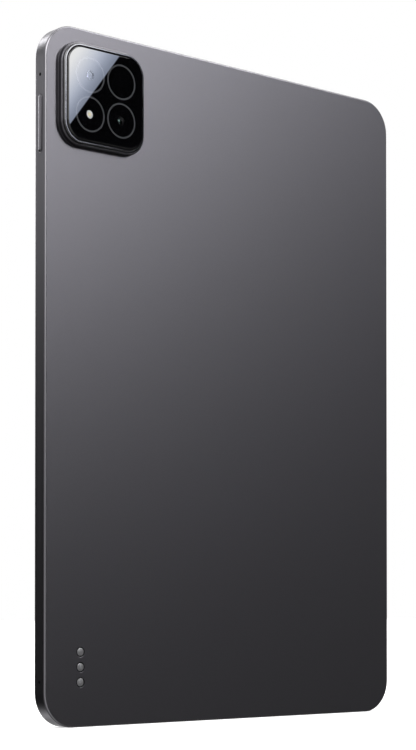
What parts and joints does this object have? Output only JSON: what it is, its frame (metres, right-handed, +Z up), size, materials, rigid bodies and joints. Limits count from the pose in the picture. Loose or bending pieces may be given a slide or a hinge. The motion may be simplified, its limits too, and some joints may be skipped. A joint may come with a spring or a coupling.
{
  "type": "tablet computer",
  "caption": "Slim slate computer on its short edge: metal unibody shell, glass screen, square camera bump, rocking volume key and sliding power key.",
  "frame": {"origin": "bottom centre of the box round the whole object: on the bottom short edge, half-way across, and half-way between the screen face and the camera glass", "axes": "+Z up along the long sides in portrait, +Y out of the back, -Y out of the screen, +X towards the long side with the volume key"},
  "size_m": [0.1739, 0.0096, 0.2517],
  "materials": {
    "housing": "bead-blasted anodised, graphite grey",
    "screen_glass": "gloss black glass, opaque with the screen off",
    "adhesive": "foam tape",
    "display_panel": "dark panel",
    "optical_film": "translucent film",
    "light_guide": "clear acrylic",
    "pressed_steel": "bright pressed sheet",
    "light_bar": "white board with diodes",
    "flex_film": "amber polyimide film",
    "polished_metal": "polished anodised",
    "black_plate": "black composite",
    "camera_glass": "gloss black glass",
    "module_can": "nickel-plated can",
    "lens_barrel": "black moulded plastic",
    "lens_glass": "coated glass",
    "circuit_board": "solder mask",
    "flash_lens": "frosted diffuser",
    "key_metal": "anodised",
    "insulator": "moulded plastic",
    "port_steel": "drawn steel",
    "chip_plastic": "moulded package",
    "magnet": "nickel-plated",
    "carrier_plastic": "moulded plastic",
    "screw_steel": "zinc-plated",
    "mesh": "woven mesh on tape",
    "ring_metal": "thin bright ring",
    "contact_metal": "plated contact",
    "speaker_plastic": "moulded plastic",
    "battery_pouch": "laminated foil pouch"
  },
  "bodies": {
    "tablet": {"accessory_contact_1": "contact_metal", "accessory_contact_2": "contact_metal", "accessory_contact_3": "contact_metal", "antenna_carriers": "carrier_plastic", "backlight_tray": "pressed_steel", "battery_board": "circuit_board", "battery_cell_1": "battery_pouch", "battery_cell_2": "battery_pouch", "battery_flex": "flex_film", "board_chips": "chip_plastic", "camera_cover_glass": "camera_glass", "camera_deco_plate": "black_plate", "camera_trim_ring": "polished_metal", "charging_port_shell": "port_steel", "charging_port_tongue": "insulator", "contact_board": "circuit_board", "contact_insulator": "insulator", "cover_glass": "screen_glass", "display_adhesive": "adhesive", "display_flex": "flex_film", "flash_board": "circuit_board", "flash_lens": "flash_lens", "front_camera": "lens_barrel", "front_camera_board": "flex_film", "keyboard_magnets": "magnet", "lcd_cell": "display_panel", "led_light_bar": "light_bar", "lens_ring_1": "ring_metal", "lens_ring_2": "ring_metal", "lens_ring_3": "ring_metal", "lens_ring_4": "ring_metal", "light_guide": "light_guide", "light_sensor_pipe": "light_guide", "main_board": "circuit_board", "main_camera_board": "circuit_board", "main_camera_module": "module_can", "main_to_sub_flex": "flex_film", "microphone_lower": "module_can", "microphone_upper": "module_can", "optical_film_stack": "optical_film", "power_key_board": "flex_film", "power_key_bracket": "pressed_steel", "power_shield": "module_can", "processor_shield": "module_can", "rear_housing": "housing", "screws": "screw_steel", "second_camera_lens": "lens_barrel", "second_camera_module": "module_can", "speaker_1": "speaker_plastic", "speaker_2": "speaker_plastic", "speaker_3": "speaker_plastic", "speaker_4": "speaker_plastic", "speaker_meshes": "mesh", "sub_board": "circuit_board", "volume_key_board": "flex_film", "volume_key_bracket": "pressed_steel"},
    "volume_key": {"volume_key": "key_metal"},
    "power_key": {"power_key": "key_metal"},
    "focus_lens": {"main_camera_barrel": "lens_barrel", "main_camera_element": "lens_glass"}
  },
  "joints": [
    {"name": "volume_rock", "type": "hinge", "parent": "tablet", "child": "volume_key", "pos_m": [0.08569, -0.0016, 0.21482], "axis": [0, 1, 0], "range_deg": [-1.2, 1.2], "stiffness_Nm_per_rad": 0.8},
    {"name": "power_press", "type": "slide", "parent": "tablet", "child": "power_key", "axis": [0, 0, -1], "range_m": [0, 0.00025], "stiffness_N_per_m": 800, "springref_m": -0.0005},
    {"name": "focus_travel", "type": "slide", "parent": "tablet", "child": "focus_lens", "axis": [0, 1, 0], "range_m": [0, 0.0003], "stiffness_N_per_m": 100}
  ]
}
